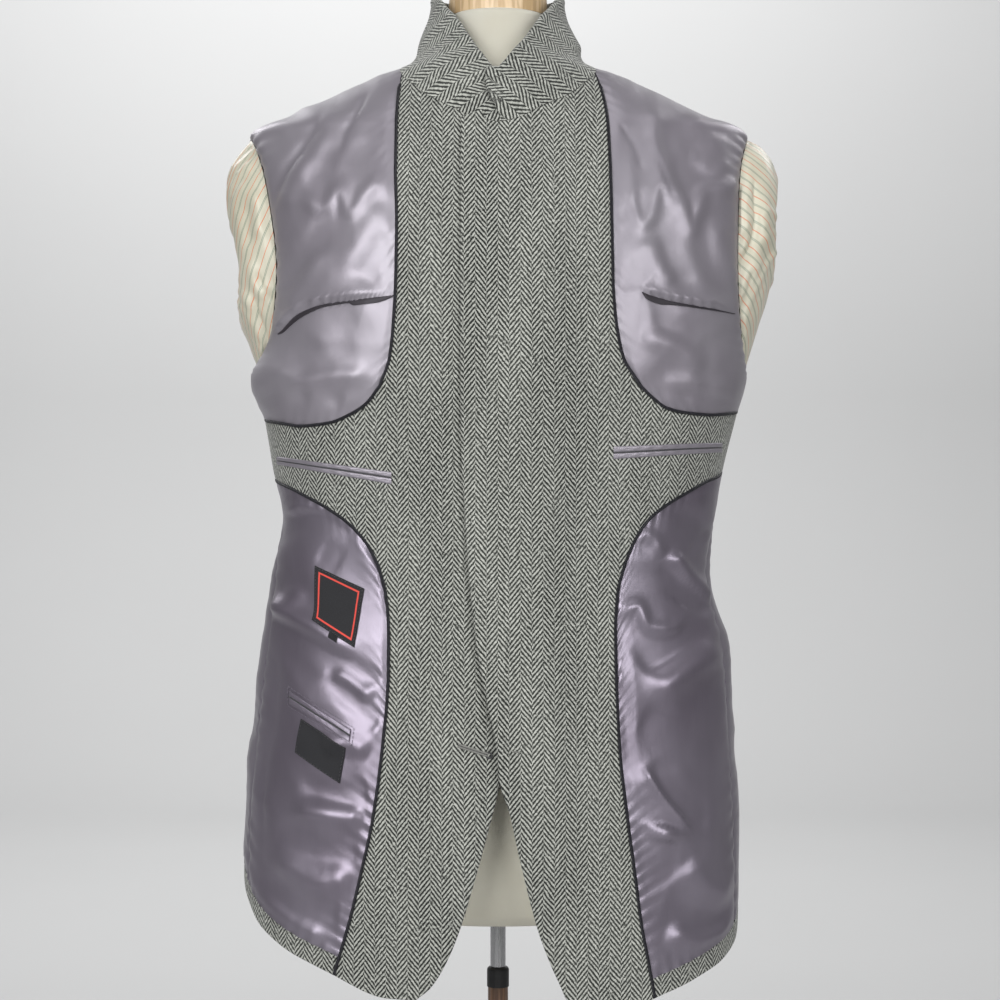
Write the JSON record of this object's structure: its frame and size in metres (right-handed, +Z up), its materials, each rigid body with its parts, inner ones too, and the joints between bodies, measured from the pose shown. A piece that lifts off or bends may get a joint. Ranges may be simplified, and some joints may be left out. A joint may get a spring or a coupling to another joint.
{
  "type": "sport coat on a dress form",
  "caption": "Herringbone tweed sport coat worn inside out with its collar up, on a limbless dress form with a round stand.",
  "frame": {"origin": "centre of the stand's base on the floor", "axes": "+Z up the stand, -Y out of the coat's front, +X to the right of a viewer in front of it"},
  "size_m": [0.4998, 0.37, 1.5428],
  "materials": {
    "tweed": "woven wool, matt",
    "lining_satin": "smooth satin",
    "sleeve_satin": "smooth satin with thin stripes",
    "piping_cord": "glazed cord",
    "label_cloth": "matt, bare",
    "horn": "satin",
    "form_cloth": "tight jersey, matt",
    "wood_light": "clear satin varnish",
    "wood_dark": "stained, satin",
    "steel": "brushed",
    "black_metal": "satin black"
  },
  "bodies": {
    "root": {"front_left": "tweed", "back_left": "tweed", "facing_left": "tweed", "hem_front_left": "tweed", "hem_back_left": "tweed", "sleeve_left": "tweed", "chest_lining_left": "lining_satin", "skirt_lining_left": "lining_satin", "back_lining_left": "lining_satin", "sleeve_lining_left": "sleeve_satin", "piping_upper_left": "piping_cord", "piping_lower_left": "piping_cord", "breast_welt_upper_left": "lining_satin", "breast_welt_lower_left": "lining_satin", "front_right": "tweed", "back_right": "tweed", "facing_right": "tweed", "hem_front_right": "tweed", "hem_back_right": "tweed", "sleeve_right": "tweed", "chest_lining_right": "lining_satin", "skirt_lining_right": "lining_satin", "back_lining_right": "lining_satin", "sleeve_lining_right": "sleeve_satin", "piping_upper_right": "piping_cord", "piping_lower_right": "piping_cord", "breast_welt_upper_right": "lining_satin", "breast_welt_lower_right": "lining_satin", "pocket_welt_upper_left": "lining_satin", "pocket_welt_lower_left": "lining_satin", "collar": "tweed", "label_main": "label_cloth", "label_size": "label_cloth", "label_care": "label_cloth", "button_1": "horn", "button_2": "horn", "form_torso": "form_cloth", "neck_cap": "wood_light", "stand_pole": "steel", "stand_ring": "black_metal", "stand_base": "black_metal", "stand_post": "wood_dark"}
  },
  "joints": []
}
